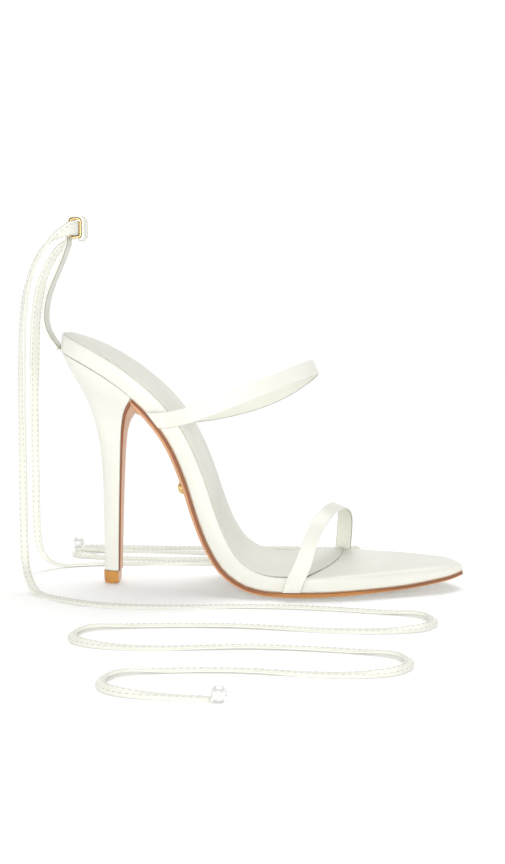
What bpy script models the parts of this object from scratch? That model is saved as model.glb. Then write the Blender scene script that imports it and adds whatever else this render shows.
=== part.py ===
"""A tall lace-up stiletto sandal, right foot, with its ankle ties lying uncoiled on the floor.

Sizes are in millimetres while the shapes are worked out: x runs from the back of the heel seat to the toe,
y from the outer side of the foot (near, negative) to the inner side (far, positive), z up from the floor.
"""
import math

import bmesh
import bpy
import numpy as np

MM = 0.001
GAP = 0.3

# The middle of the shoe's box, which becomes the origin
CENTRE_X = 94.4
CENTRE_Y = 1.9

# The sole's line: the underside of the footbed, in rows from the heel's end to the toe
SOLE_COLUMNS = ("x", "z", "near", "far", "band")
SOLE_ROWS = (
    (-1.6, 116.5, 25.0, 25.0, 8.0),
    (16.0, 108.8, 25.2, 25.2, 8.0),
    (33.0, 98.1, 26.0, 26.0, 8.0),
    (47.8, 84.9, 26.2, 25.0, 8.0),
    (57.5, 71.2, 25.8, 23.7, 8.0),
    (64.6, 54.6, 25.8, 23.0, 8.2),
    (70.6, 36.0, 26.5, 23.3, 8.5),
    (76.2, 22.7, 28.1, 24.6, 8.6),
    (84.6, 11.3, 31.0, 27.7, 8.4),
    (96.8, 5.1, 34.0, 31.6, 7.5),
    (107.0, 3.8, 35.5, 35.0, 6.9),
    (120.0, 3.8, 36.5, 38.3, 6.8),
    (129.0, 4.1, 36.5, 39.9, 7.0),
    (145.0, 4.6, 32.8, 37.2, 7.3),
    (155.0, 4.9, 28.7, 33.4, 7.3),
    (165.0, 5.3, 24.2, 29.2, 7.3),
    (175.0, 6.1, 19.4, 24.2, 6.7),
    (184.0, 7.2, 14.6, 18.6, 5.8),
    (190.5, 8.2, 11.0, 14.0, 4.7),
    (196.8, 9.2, 7.0, 8.6, 3.4),
)
HEEL_ROUND = 25.0
TOE_ROUND = 9.0
LINE_STEP = 0.25
EDGE_ROUND = 0.9
EDGE_SHARE = 0.2
TOP_ROUND_COLUMNS = ("station", "radius")
TOP_ROUND_ROWS = ((0.0, 0.9), (165.0, 0.9), (200.0, 1.6), (220.0, 2.8), (240.0, 2.8), (262.0, 2.0))
TOP_ROUND_TURNS = (0.0, 30.0, 60.0, 90.0)
TOP_ROUND_SHARE = 0.45
TOE_DROP = 1.2
PLATE_STEPS = 48
ROUND_STEPS = 9
ACROSS_STEPS = 7
SHARP_ANGLE = 35.0
SEAT_DISH = 1.4
SEAT_DISH_END = 70.0
HEEL_UNDERCUT = 2.0
END_START = 0.3
MERGE_DISTANCE = 1e-6
ROUTE_FINENESS = 12

# The sock lining
SOCK_THICKNESS = 0.8
SOCK_INSET = 1.4
SOCK_END = 194.0
SOCK_SLANT = 7.8
SOCK_BOW = 4.0
SOCK_SLANT_START = 120.0

# The outsole: its thickness, the height of its upright edge, the width of the bevel under that, and how far
# its middle swells out over its edges
OUTSOLE_COLUMNS = ("station", "thickness", "wall", "bevel", "swell")
OUTSOLE_ROWS = (
    (47.0, 1.7, 1.1, 0.5, 5.6),
    (54.0, 2.4, 1.3, 1.4, 3.4),
    (60.0, 3.0, 1.5, 2.2, 1.6),
    (75.0, 3.0, 1.5, 2.2, 0.0),
    (105.0, 3.0, 1.5, 2.2, 0.0),
    (161.0, 2.3, 1.6, 0.6, 1.25),
    (179.0, 2.3, 1.6, 0.6, 1.25),
    (204.0, 1.95, 1.4, 0.5, 0.4),
    (222.0, 1.8, 1.3, 0.5, 0.0),
    (255.0, 1.7, 1.2, 0.5, 0.0),
)
FLAP_COLUMNS = ("z", "thickness", "wall", "bevel", "swell")
FLAP_ROWS = (
    (6.0, 0.7, 0.5, 0.2, 0.0),
    (60.0, 0.9, 0.7, 0.2, 0.0),
    (80.0, 1.3, 1.0, 0.3, 0.5),
    (88.0, 1.7, 1.2, 0.4, 2.4),
    (92.0, 1.9, 1.4, 0.5, 4.2),
)
SWELL_SHARES = (-0.6, -0.2, 0.2, 0.6)
OUTSOLE_OVERHANG = 0.3
OUTSOLE_TOP_ROUND = 0.25
BREAST_STATION = 47.0
CORNER_CLEARANCE = 3.0

# The heel block: its back line, its breast line and half its width, from the tip up
HEEL_COLUMNS = ("back_x", "back_z", "front_x", "front_z", "half")
HEEL_ROWS = (
    (20.5, 6.6, 28.1, 6.6, 4.3),
    (20.7, 17.0, 28.2, 17.0, 4.3),
    (20.6, 35.0, 28.6, 35.0, 4.7),
    (20.4, 51.5, 29.1, 51.5, 5.2),
    (19.5, 65.5, 29.6, 66.0, 5.8),
    (17.8, 76.0, 30.2, 75.5, 7.2),
    (15.2, 85.0, 31.3, 80.9, 10.4),
    (12.0, 93.0, 32.7, 85.0, 15.0),
    (8.2, 100.3, 34.5, 88.4, 19.4),
    (3.9, 107.8, 36.6, 91.4, 23.0),
)
HEEL_TOP_HALF = 25.2
HEEL_TOP_INSET = 0.5
HEEL_TOP_SETBACK = 1.0
HEEL_SIDE_POINTS = 11
HEEL_BACK_FLAT = 0.06

# The top piece under the heel
TIP_BACK = 20.3
TIP_FRONT = 28.3
TIP_HALF = 4.5
TIP_HEIGHT = 6.3
TIP_ROUND = 0.7

# The straps: the middle of each along its route, the turn of its width in degrees, and its width
STRAP_COLUMNS = ("x", "y", "z", "turn", "width")
STRAP_THICKNESS = 1.2
STRAP_EDGE_ROUND = 0.25
STRAP_EDGE_ANGLE = 50.0
STRAP_STEPS = 46
CUT_SHARE = 0.1
TOE_STRAP_ACROSS = (1.0, 0.0, -0.35)
TOE_STRAP_CUTS = (0.33, -0.04)
TOE_STRAP_ROWS = (
    (115.4, -37.6, 4.1, -2.0, 8.0),
    (117.2, -37.6, 9.5, -2.0, 8.0),
    (120.2, -36.9, 16.0, -2.0, 7.8),
    (123.5, -34.0, 26.0, -2.0, 7.0),
    (126.6, -29.8, 33.2, -3.0, 6.7),
    (129.6, -23.0, 37.6, -4.0, 6.6),
    (132.6, -13.5, 39.8, -6.0, 6.6),
    (135.6, -2.0, 39.9, -8.0, 6.8),
    (137.8, 10.0, 37.5, -9.0, 7.2),
    (138.9, 22.0, 32.8, -10.0, 7.6),
    (138.9, 32.0, 26.5, -11.0, 7.9),
    (138.2, 38.6, 17.5, -13.0, 8.0),
    (137.7, 40.6, 10.4, -13.0, 8.0),
    (137.5, 40.7, 4.7, -13.0, 8.0),
)
INSTEP_STRAP_ACROSS = (-0.4, 0.0, 0.92)
INSTEP_STRAP_CUTS = (-0.75, 0.75)
INSTEP_STRAP_ROWS = (
    (48.9, -27.4, 83.4, 0.0, 7.4),
    (55.0, -27.4, 83.6, 0.0, 7.4),
    (62.5, -27.6, 84.9, 0.0, 7.4),
    (74.5, -27.7, 88.8, 0.0, 7.4),
    (89.0, -26.4, 94.4, 0.0, 7.4),
    (103.5, -22.4, 100.2, 0.0, 7.4),
    (115.0, -14.8, 104.6, 0.0, 7.4),
    (122.4, -5.8, 107.1, 0.0, 7.4),
    (124.4, 2.4, 106.8, 0.0, 7.4),
    (119.8, 11.2, 102.4, 0.0, 7.4),
    (109.5, 18.8, 95.2, 0.0, 7.4),
    (96.0, 23.2, 88.8, 0.0, 7.4),
    (83.0, 25.2, 84.8, 0.0, 7.4),
    (71.0, 25.9, 82.2, 0.0, 7.4),
    (60.5, 26.1, 81.0, -3.0, 7.4),
    (51.6, 26.4, 80.4, -3.0, 7.4),
)
BACK_STRAP_WIDTH = 11.0
BACK_STRAP_THICKNESS = 1.4
BACK_STRAP_ROWS = (
    (-0.35, 115.7),
    (-2.3, 118.3),
    (-4.4, 121.2),
    (-6.1, 124.6),
    (-7.1, 128.4),
    (-7.3, 132.6),
    (-6.8, 137.3),
    (-5.5, 142.6),
    (-3.1, 148.6),
    (-0.2, 155.0),
    (2.4, 161.2),
    (4.3, 166.4),
)
LOOP_X = 8.8
LOOP_Z = 174.0
LOOP_HALF_DEPTH = 3.7
LOOP_HALF_HEIGHT = 5.7
LOOP_ROUND = 2.4
LOOP_POINTS = 4
BACK_STRAP_STEPS = 26

# The gold sleeve inside the loop
KEEPER_THICKNESS = 0.6
KEEPER_WIDTH = 10.6

# The ankle ties: tubes that hang from the keeper behind the heel and lie on the floor in loose folds
TIE_DIAMETER = 3.6
TIE_FLOOR = 2.0
TIE_POINTS = 80
NEAR_SIDE = -1.0
FAR_SIDE = 1.0
HANG_COLUMNS = ("x", "y", "z")
NEAR_HANG = (
    (8.8, -0.4, 174.0),
    (8.8, -11.0, 174.0),
    (7.2, -17.0, 173.0),
    (2.5, -20.8, 170.0),
    (-4.0, -22.4, 163.0),
    (-9.5, -22.8, 151.0),
    (-12.8, -22.6, 135.0),
    (-14.2, -22.0, 112.0),
    (-14.6, -22.0, 80.0),
    (-14.6, -22.0, 45.0),
    (-14.4, -22.4, 24.0),
    (-12.4, -25.6, 10.0),
    (-7.0, -32.5, 3.2),
    (4.0, -43.5, TIE_FLOOR),
    (26.0, -56.0, TIE_FLOOR),
)
FAR_HANG = (
    (8.8, 0.4, 174.0),
    (8.8, 11.0, 174.0),
    (6.8, 17.0, 173.0),
    (1.0, 20.8, 170.0),
    (-6.5, 22.4, 163.0),
    (-13.0, 22.8, 151.0),
    (-16.8, 22.6, 135.0),
    (-18.2, 22.0, 112.0),
    (-18.6, 22.0, 80.0),
    (-18.6, 22.0, 45.0),
    (-18.4, 22.4, 24.0),
    (-16.2, 25.2, 10.0),
    (-10.4, 31.6, 3.2),
    (2.0, 38.5, TIE_FLOOR),
    (24.0, 44.0, TIE_FLOOR),
)
FOLD_COLUMNS = ("x", "y", "radius", "sway")
NEAR_FOLDS = (
    (162.0, -79.0, 18.0, 5.0),
    (46.0, -115.0, 18.0, 4.0),
    (150.0, -151.0, 18.0, 4.0),
    (70.0, -186.0, 17.0, 3.0),
)
FAR_FOLDS = (
    (178.0, 53.3, 8.2, 1.5),
    (0.0, 69.7, 8.2, 1.0),
    (138.0, 86.0, 8.1, -1.5),
)
NEAR_END = (96.0, -205.0)
FAR_END = (-8.0, 93.0)
FOLD_TURNS = (-90.0, -45.0, 0.0, 45.0, 90.0)
BEAD_DIAMETER = 6.0
BEAD_SEGMENTS = 16
BEAD_RINGS = 10

# The stud under the arch
STUD_STATION = 97.5
STUD_Y = -19.0
STUD_RADIUS = 3.3
STUD_HEIGHT = 2.4
STUD_RINGS = 7
STUD_SPOKES = 16
STUD_TOP_ANGLE = 80.0

# Finishes: colour, roughness, metallic
FINISHES = {
    "ivory_leather": ((0.91, 0.91, 0.84), 0.38, 0.0),
    "lining_leather": ((0.76, 0.76, 0.70), 0.55, 0.0),
    "sole_leather": ((0.46, 0.17, 0.05), 0.35, 0.0),
    "amber_tip": ((0.60, 0.27, 0.05), 0.30, 0.0),
    "gold_metal": ((0.85, 0.62, 0.28), 0.22, 1.0),
}


def clear_scene():
    """Removes every object that the file opened with."""
    for item in list(bpy.data.objects):
        bpy.data.objects.remove(item, do_unlink=True)


def new_collection(name):
    """Makes a collection and links it to the scene."""
    collection = bpy.data.collections.new(name)
    bpy.context.scene.collection.children.link(collection)
    return collection


def finish_for(item, finish):
    """Gives an object a material of its own."""
    colour, roughness, metallic = FINISHES[finish]
    material = bpy.data.materials.new(f"{item.name}_{finish}")
    material.use_nodes = True
    shader = material.node_tree.nodes["Principled BSDF"]
    shader.inputs["Base Color"].default_value = (*colour, 1.0)
    shader.inputs["Roughness"].default_value = roughness
    shader.inputs["Metallic"].default_value = metallic
    item.data.materials.append(material)


def place(points):
    """Turns millimetres from the heel's end into metres from the shoe's middle."""
    offset = np.array((CENTRE_X, CENTRE_Y, 0.0))
    return (np.asarray(points, float) - offset) * MM


def steady(knots, values, at):
    """Reads a smooth curve through the knots that never swings past them."""
    knots = np.asarray(knots, float)
    values = np.asarray(values, float)
    step = np.diff(knots)
    rise = np.diff(values) / step
    slope = np.zeros_like(values)
    slope[0] = rise[0]
    slope[-1] = rise[-1]
    for row in range(1, len(values) - 1):
        before, after = rise[row - 1], rise[row]
        if before * after > 0.0:
            weight_before = 2.0 * step[row] + step[row - 1]
            weight_after = step[row] + 2.0 * step[row - 1]
            slope[row] = (weight_before + weight_after) / (weight_before / before + weight_after / after)
    place_in = np.clip(np.searchsorted(knots, at, side="right") - 1, 0, len(step) - 1)
    part = (at - knots[place_in]) / step[place_in]
    near_value = values[place_in] * (1.0 + 2.0 * part) * (1.0 - part) ** 2
    far_value = values[place_in + 1] * part ** 2 * (3.0 - 2.0 * part)
    near_slope = slope[place_in] * step[place_in] * part * (1.0 - part) ** 2
    far_slope = slope[place_in + 1] * step[place_in] * part ** 2 * (part - 1.0)
    return near_value + far_value + near_slope + far_slope


def rounded(knots, values, at):
    """Reads a cubic spline through the knots, free at both ends."""
    knots = np.asarray(knots, float)
    values = np.asarray(values, float)
    count = len(knots)
    step = np.diff(knots)
    rise = np.diff(values) / step
    matrix = np.eye(count)
    right = np.zeros(count)
    for row in range(1, count - 1):
        matrix[row, row - 1] = step[row - 1]
        matrix[row, row] = 2.0 * (step[row - 1] + step[row])
        matrix[row, row + 1] = step[row]
        right[row] = 6.0 * (rise[row] - rise[row - 1])
    bend = np.linalg.solve(matrix, right)
    cell = np.clip(np.searchsorted(knots, at, side="right") - 1, 0, count - 2)
    before = knots[cell + 1] - at
    after = at - knots[cell]
    width = step[cell]
    curve = (bend[cell] * before ** 3 + bend[cell + 1] * after ** 3) / (6.0 * width)
    start = (values[cell] / width - bend[cell] * width / 6.0) * before
    end = (values[cell + 1] / width - bend[cell + 1] * width / 6.0) * after
    return curve + start + end


def lengths_along(points):
    """Measures how far along a chain of points each one lies."""
    steps = np.linalg.norm(np.diff(np.asarray(points, float), axis=0), axis=1)
    return np.concatenate(([0.0], np.cumsum(steps)))


def route_through(rows, count):
    """Reads evenly spaced points from a smooth curve through the rows."""
    rows = np.asarray(rows, float)
    knots = lengths_along(rows[:, :3])
    fine = np.linspace(0.0, knots[-1], count * ROUTE_FINENESS)
    dense = np.stack([rounded(knots, column, fine) for column in rows.T], axis=1)
    along = lengths_along(dense[:, :3])
    even = np.linspace(0.0, along[-1], count)
    return np.stack([np.interp(even, along, column) for column in dense.T], axis=1)


class SoleLine:
    """The sole's curve in side view, with its widths, read by distance from the heel's end."""

    def __init__(self):
        rows = np.asarray(SOLE_ROWS, float)
        knots = lengths_along(rows[:, :2])
        fine = np.arange(0.0, knots[-1], LINE_STEP)
        fine = np.append(fine, knots[-1])
        self.columns = {
            name: steady(knots, rows[:, place_in], fine) for place_in, name in enumerate(SOLE_COLUMNS)
        }
        line = np.stack((self.columns["x"], self.columns["z"]), axis=1)
        self.along = lengths_along(line)
        self.length = self.along[-1]
        tangent = np.gradient(line, self.along, axis=0)
        tangent /= np.linalg.norm(tangent, axis=1)[:, None]
        self.columns["tangent_x"] = tangent[:, 0]
        self.columns["tangent_z"] = tangent[:, 1]

    def read(self, name, station):
        return np.interp(station, self.along, self.columns[name])

    def point(self, station, y, height):
        """Gives the point at a station, y across and height above the line along its normal."""
        tangent_x = self.read("tangent_x", station)
        tangent_z = self.read("tangent_z", station)
        x = self.read("x", station) - tangent_z * height
        z = self.read("z", station) + tangent_x * height
        return (x, y, z)

    def half(self, side, station):
        """Gives half the width on one side, with a round heel and a blunt toe point."""
        width = self.read(side, station)
        from_toe = self.length - station
        if station < HEEL_ROUND:
            width *= math.sqrt(max(0.0, 1.0 - (1.0 - station / HEEL_ROUND) ** 2))
        if from_toe < TOE_ROUND:
            width *= math.sqrt(max(0.0, 1.0 - (1.0 - from_toe / TOE_ROUND) ** 2))
        return width


def plate_stations(sole, start, end):
    """Spaces stations along the sole, close together at its round ends."""
    quarter = np.linspace(0.0, math.pi / 2, ROUND_STEPS)
    stations = set()
    if start < HEEL_ROUND:
        stations.update(HEEL_ROUND * (1.0 - np.cos(quarter[1:])))
        stations.add(END_START)
    else:
        stations.add(start)
    if end > sole.length - TOE_ROUND:
        stations.update(sole.length - TOE_ROUND * (1.0 - np.cos(quarter[2:])))
        stations.add(sole.length - END_START)
    else:
        stations.add(end)
    middle = np.linspace(max(start, HEEL_ROUND), min(end, sole.length - TOE_ROUND), PLATE_STEPS)
    stations.update(middle)
    return sorted(round(float(station), 3) for station in stations if start <= station <= end)


def solid_from_rings(name, rings, collection, finish, strip_caps=False):
    """Joins rings of points into one closed solid: walls between rings and a cap at each end."""
    mesh = bpy.data.meshes.new(name)
    build = bmesh.new()
    made = [[build.verts.new(point) for point in place(ring)] for ring in rings]
    count = len(made[0])
    for lower, upper in zip(made[:-1], made[1:]):
        for corner in range(count):
            after = (corner + 1) % count
            build.faces.new((lower[corner], lower[after], upper[after], upper[corner]))
    for ring in (made[0], made[-1]):
        if strip_caps:
            for corner in range(count // 2 - 1):
                other = count - 1 - corner
                build.faces.new((ring[corner], ring[corner + 1], ring[other - 1], ring[other]))
        else:
            build.faces.new(ring)
    bmesh.ops.remove_doubles(build, verts=build.verts, dist=MERGE_DISTANCE)
    bmesh.ops.recalc_face_normals(build, faces=build.faces)
    build.to_mesh(mesh)
    build.free()
    item = bpy.data.objects.new(name, mesh)
    collection.objects.link(item)
    mesh.shade_smooth()
    mesh.set_sharp_from_angle(angle=math.radians(SHARP_ANGLE))
    finish_for(item, finish)
    return item


def between(value, low, high):
    """Gives how far a value lies from low to high, held to the range from 0 to 1."""
    return min(1.0, max(0.0, (value - low) / (high - low)))


def seat_dish(station):
    """Gives how deep the heel seat is dished at a station."""
    part = 1.0 - between(station, 0.0, SEAT_DISH_END)
    ease_in = min(1.0, station / HEEL_ROUND)
    return SEAT_DISH * part * part * (3.0 - 2.0 * part) * ease_in


def footbed_side(sole, station):
    """Gives the height of the footbed's side, which drops a little at the very end of the toe."""
    from_toe = between(sole.length - station, 0.0, TOE_ROUND)
    return sole.read("band", station) - TOE_DROP * (1.0 - from_toe) ** 2


def footbed_top(sole, station, share):
    """Gives the height of the footbed's top over the sole's line, share being -1 at near and 1 at far."""
    return footbed_side(sole, station) - seat_dish(station) * (1.0 - share * share)


def make_footbed(sole, collection):
    """Makes the wrapped insole board: a bent plate with rounded edges and a dished seat."""
    rings = []
    for station in plate_stations(sole, 0.0, sole.length):
        near = -sole.half("near", station)
        far = sole.half("far", station)
        low = min(EDGE_ROUND, (far - near) * EDGE_SHARE)
        under = station + HEEL_UNDERCUT * max(0.0, 1.0 - station / HEEL_ROUND)
        top = footbed_side(sole, station)
        rim = min(read_table(TOP_ROUND_ROWS, station)[0], (far - near) * EDGE_SHARE, top * TOP_ROUND_SHARE)
        ring = [sole.point(under, near + low, 0.0)]
        ring.append(sole.point(under, near, min(low, top - rim)))
        for turn in np.radians(TOP_ROUND_TURNS):
            height = top - rim * (1.0 - math.sin(turn))
            ring.append(sole.point(station, near + rim * (1.0 - math.cos(turn)), height))
        for share in np.linspace(-1.0, 1.0, ACROSS_STEPS)[1:-1]:
            across = (near + far) / 2 + share * ((far - near) / 2 - rim)
            ring.append(sole.point(station, across, footbed_top(sole, station, share)))
        for turn in np.radians(TOP_ROUND_TURNS[::-1]):
            height = top - rim * (1.0 - math.sin(turn))
            ring.append(sole.point(station, far - rim * (1.0 - math.cos(turn)), height))
        ring.append(sole.point(under, far, min(low, top - rim)))
        ring.append(sole.point(under, far - low, 0.0))
        rings.append(ring)
    return solid_from_rings("footbed", rings, collection, "ivory_leather")


def make_sock(sole, collection):
    """Makes the sock lining: a thin sheet on the footbed with a slanted front edge at the ball."""
    rings = []
    for station in plate_stations(sole, SOCK_INSET + END_START, SOCK_END):
        near = -sole.half("near", station) + SOCK_INSET
        far = sole.half("far", station) - SOCK_INSET
        if far - near < 2.0 * SOCK_INSET:
            continue
        growth = between(station, SOCK_SLANT_START, SOCK_END) ** 2
        lower = []
        upper = []
        for share in np.linspace(-1.0, 1.0, ACROSS_STEPS):
            across = (near + far) / 2 + share * (far - near) / 2
            shifted = station + (SOCK_SLANT * share - SOCK_BOW * share * share) * growth
            height = footbed_top(sole, shifted, share) + GAP
            lower.append(sole.point(shifted, across, height))
            upper.append(sole.point(shifted, across, height + SOCK_THICKNESS))
        rings.append(upper + lower[::-1])
    return solid_from_rings("sock", rings, collection, "lining_leather")


def read_table(rows, at):
    """Reads every column of a table but its first, at a value of the first."""
    rows = np.asarray(rows, float)
    return [np.interp(at, rows[:, 0], column) for column in rows[:, 1:].T]


def outsole_path(sole):
    """Lists the outsole from toe to breast and down the flap: x, z, near, far, then its table's columns."""
    path = []
    stations = [at for at in plate_stations(sole, 0.0, sole.length) if at > BREAST_STATION + CORNER_CLEARANCE]
    for station in reversed(stations):
        x, _, z = sole.point(station, 0.0, -GAP)
        overhang = OUTSOLE_OVERHANG * min(1.0, (sole.length - station) / TOE_ROUND)
        near = sole.half("near", station) + overhang
        far = sole.half("far", station) + overhang
        path.append((x, z, near, far, *read_table(OUTSOLE_ROWS, station)))
    corner = sole.point(BREAST_STATION, 0.0, -GAP)
    near = sole.half("near", BREAST_STATION)
    far = sole.half("far", BREAST_STATION)
    path.append((corner[0], corner[2], near, far, *read_table(OUTSOLE_ROWS, BREAST_STATION)))
    for _, _, front_x, front_z, half in reversed(HEEL_ROWS):
        path.append((front_x + GAP, front_z, half, half, *read_table(FLAP_ROWS, front_z)))
    return np.asarray(path)


def make_outsole(sole, collection):
    """Makes the sole leather: a strip along the sole's line that turns down the heel's breast."""
    path = outsole_path(sole)
    line = path[:, :2]
    tangent = np.zeros_like(line)
    before = line[1:-1] - line[:-2]
    after = line[2:] - line[1:-1]
    before /= np.linalg.norm(before, axis=1)[:, None]
    after /= np.linalg.norm(after, axis=1)[:, None]
    tangent[1:-1] = before + after
    tangent[0] = line[1] - line[0]
    tangent[-1] = (0.0, -1.0)
    tangent /= np.linalg.norm(tangent, axis=1)[:, None]
    mitre = np.ones(len(line))
    mitre[1:-1] = 1.0 / np.sqrt((1.0 + np.sum(before * after, axis=1)) / 2.0)
    rings = []
    for row, (along_x, along_z), stretch in zip(path, tangent, mitre):
        x, z, near, far, thickness, wall, bevel, swell = row
        under = np.array((-along_z, along_x)) * stretch
        widest = (near + far) * EDGE_SHARE
        top_round = min(OUTSOLE_TOP_ROUND, widest)
        inset = min(bevel, widest)
        middle = (far - near) / 2
        half = (far + near) / 2 - inset
        section = [(-near + top_round, 0.0), (-near, top_round), (-near, wall), (-near + inset, thickness)]
        for share in SWELL_SHARES:
            section.append((middle + share * half, thickness + swell * (1.0 - share * share)))
        section += [(far - inset, thickness), (far, wall), (far, top_round), (far - top_round, 0.0)]
        rings.append([(x + under[0] * depth, across, z + under[1] * depth) for across, depth in section])
    return solid_from_rings("outsole", rings, collection, "sole_leather")


def heel_ring(back, front, half, round_length):
    """Gives a heel section, flat at the breast and round at the back, from the near corner to the far one."""
    depth = math.hypot(front[0] - back[0], front[1] - back[1])
    near_side = []
    for share in np.linspace(1.0, 0.0, HEEL_SIDE_POINTS):
        along = depth * share * share
        rounding = min(1.0, along / round_length)
        y = half * math.sqrt(max(0.0, 1.0 - (1.0 - rounding) ** 2))
        y = max(y, half * HEEL_BACK_FLAT)
        x = back[0] + (front[0] - back[0]) * along / depth
        z = back[1] + (front[1] - back[1]) * along / depth
        near_side.append((x, -y, z))
    far_side = [(x, -y, z) for x, y, z in near_side[::-1]]
    return near_side + far_side


def make_heel(sole, collection):
    """Makes the heel block: slim at the tip, flaring to the seat, its top lying along the footbed."""
    rings = []
    for back_x, back_z, front_x, front_z, half in HEEL_ROWS:
        depth = math.hypot(front_x - back_x, front_z - back_z)
        rings.append(heel_ring((back_x, back_z), (front_x, front_z), half, min(depth, HEEL_ROUND)))
    start = HEEL_UNDERCUT + HEEL_TOP_INSET
    end = BREAST_STATION - HEEL_TOP_SETBACK
    flat = heel_ring((start, 0.0), (end, 0.0), HEEL_TOP_HALF, HEEL_ROUND - start)
    rings.append([sole.point(station, y, -GAP) for station, y, _ in flat])
    return solid_from_rings("heel", rings, collection, "ivory_leather", strip_caps=True)


def make_top_piece(collection):
    """Makes the heel tip: the heel's own section with rounded lower edges."""
    rings = []
    for height, inset in ((0.0, TIP_ROUND), (TIP_ROUND, 0.0), (TIP_HEIGHT, 0.0)):
        back = (TIP_BACK + inset, height)
        front = (TIP_FRONT - inset, height)
        rings.append(heel_ring(back, front, TIP_HALF - inset, front[0] - back[0]))
    return solid_from_rings("top_piece", rings, collection, "amber_tip", strip_caps=True)


def ribbon(name, edges, thickness, edge_round, collection, finish, closed=False):
    """Makes a strap from its two edges: an open strip made solid, with its edges rounded."""
    mesh = bpy.data.meshes.new(name)
    build = bmesh.new()
    made = [[build.verts.new(point) for point in place(pair)] for pair in edges]
    following = made[1:] + made[:1] if closed else made[1:]
    for (left, right), (next_left, next_right) in zip(made, following):
        build.faces.new((left, right, next_right, next_left))
    bmesh.ops.recalc_face_normals(build, faces=build.faces)
    build.to_mesh(mesh)
    build.free()
    item = bpy.data.objects.new(name, mesh)
    collection.objects.link(item)
    wall = item.modifiers.new("thickness", "SOLIDIFY")
    wall.thickness = thickness * MM
    wall.offset = 0.0
    wall.use_even_offset = True
    if edge_round:
        edge = item.modifiers.new("edges", "BEVEL")
        edge.width = edge_round * MM
        edge.segments = 1
        edge.limit_method = "ANGLE"
        edge.angle_limit = math.radians(STRAP_EDGE_ANGLE)
    finish_for(item, finish)
    return item


def strap_edges(rows, hint, end_cuts):
    """Sweeps a strap's width along its route. Each end may be cut on a slant, given as a slope."""
    route = route_through(rows, STRAP_STEPS)
    middle = route[:, :3]
    tangent = np.gradient(middle, axis=0)
    tangent /= np.linalg.norm(tangent, axis=1)[:, None]
    edges = []
    for place_in, (point, along, (turn, width)) in enumerate(zip(middle, tangent, route[:, 3:])):
        angle = math.radians(turn)
        across = np.array((
            hint[0] * math.cos(angle) - hint[1] * math.sin(angle),
            hint[0] * math.sin(angle) + hint[1] * math.cos(angle),
            hint[2],
        ))
        across = across - along * np.dot(across, along)
        across /= np.linalg.norm(across)
        share = place_in / (STRAP_STEPS - 1)
        slope = end_cuts[0] * max(0.0, 1.0 - share / CUT_SHARE)
        slope += end_cuts[1] * max(0.0, 1.0 - (1.0 - share) / CUT_SHARE)
        reach = across * width / 2 + along * slope * width / 2
        edges.append((point - reach, point + reach))
    return edges


def make_straps(collection):
    """Makes the strap over the toes and the strap over the instep."""
    toe = strap_edges(TOE_STRAP_ROWS, TOE_STRAP_ACROSS, TOE_STRAP_CUTS)
    ribbon("toe_strap", toe, STRAP_THICKNESS, STRAP_EDGE_ROUND, collection, "ivory_leather")
    instep = strap_edges(INSTEP_STRAP_ROWS, INSTEP_STRAP_ACROSS, INSTEP_STRAP_CUTS)
    ribbon("instep_strap", instep, STRAP_THICKNESS, STRAP_EDGE_ROUND, collection, "ivory_leather")


def loop_outline(depth, height, radius):
    """Gives a rounded rectangle round the loop's middle in side view, from its lower back corner upwards."""
    corners = ((-1, -1, 180), (-1, 1, 180), (1, 1, 90), (1, -1, 0))
    outline = []
    for side, level, start in corners:
        centre_x = LOOP_X + side * (depth - radius)
        centre_z = LOOP_Z + level * (height - radius)
        first = start + 90 if (side, level) == (-1, -1) else start
        for turn in np.linspace(first, first - 90, LOOP_POINTS):
            angle = math.radians(turn)
            outline.append((centre_x + radius * math.cos(angle), centre_z + radius * math.sin(angle)))
    return outline


def make_back_strap(collection):
    """Makes the strap up the back of the heel, folded over at its top into a loop for the tie."""
    straight = np.asarray([(x, 0.0, z) for x, z in BACK_STRAP_ROWS])
    rise = route_through(straight, BACK_STRAP_STEPS)
    fold = loop_outline(LOOP_HALF_DEPTH, LOOP_HALF_HEIGHT, LOOP_ROUND)[LOOP_POINTS:]
    side = [(x, 0.0, z) for x, z in fold]
    line = [tuple(point) for point in rise] + side
    half = np.array((0.0, BACK_STRAP_WIDTH / 2, 0.0))
    edges = [(np.asarray(point) - half, np.asarray(point) + half) for point in line]
    ribbon("back_strap", edges, BACK_STRAP_THICKNESS, STRAP_EDGE_ROUND, collection, "ivory_leather")


def make_keeper(collection):
    """Makes the gold sleeve that lines the loop."""
    inset = BACK_STRAP_THICKNESS / 2 + GAP + KEEPER_THICKNESS / 2
    outline = loop_outline(LOOP_HALF_DEPTH - inset, LOOP_HALF_HEIGHT - inset, LOOP_ROUND - inset)
    half = KEEPER_WIDTH / 2
    edges = [((x, -half, z), (x, half, z)) for x, z in outline]
    ribbon("keeper", edges, KEEPER_THICKNESS, 0.0, collection, "gold_metal", closed=True)


def tie_route(hang, folds, side, end):
    """Lists a tie's route: down behind the heel, then to and fro on the floor, turning at each fold."""
    rows = list(hang)
    for fold, (x, y, radius, sway) in enumerate(folds):
        facing = 1.0 if fold % 2 == 0 else -1.0
        entry_y = y - side * radius
        rows.append(((rows[-1][0] + x) / 2, (rows[-1][1] + entry_y) / 2 + sway, TIE_FLOOR))
        for turn in FOLD_TURNS:
            angle = math.radians(turn)
            fold_x = x + facing * radius * math.cos(angle)
            fold_y = y + side * radius * math.sin(angle)
            rows.append((fold_x, fold_y, TIE_FLOOR))
    rows.append(((rows[-1][0] + end[0]) / 2, (rows[-1][1] + end[1]) / 2, TIE_FLOOR))
    rows.append((*end, TIE_FLOOR))
    return rows


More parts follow.
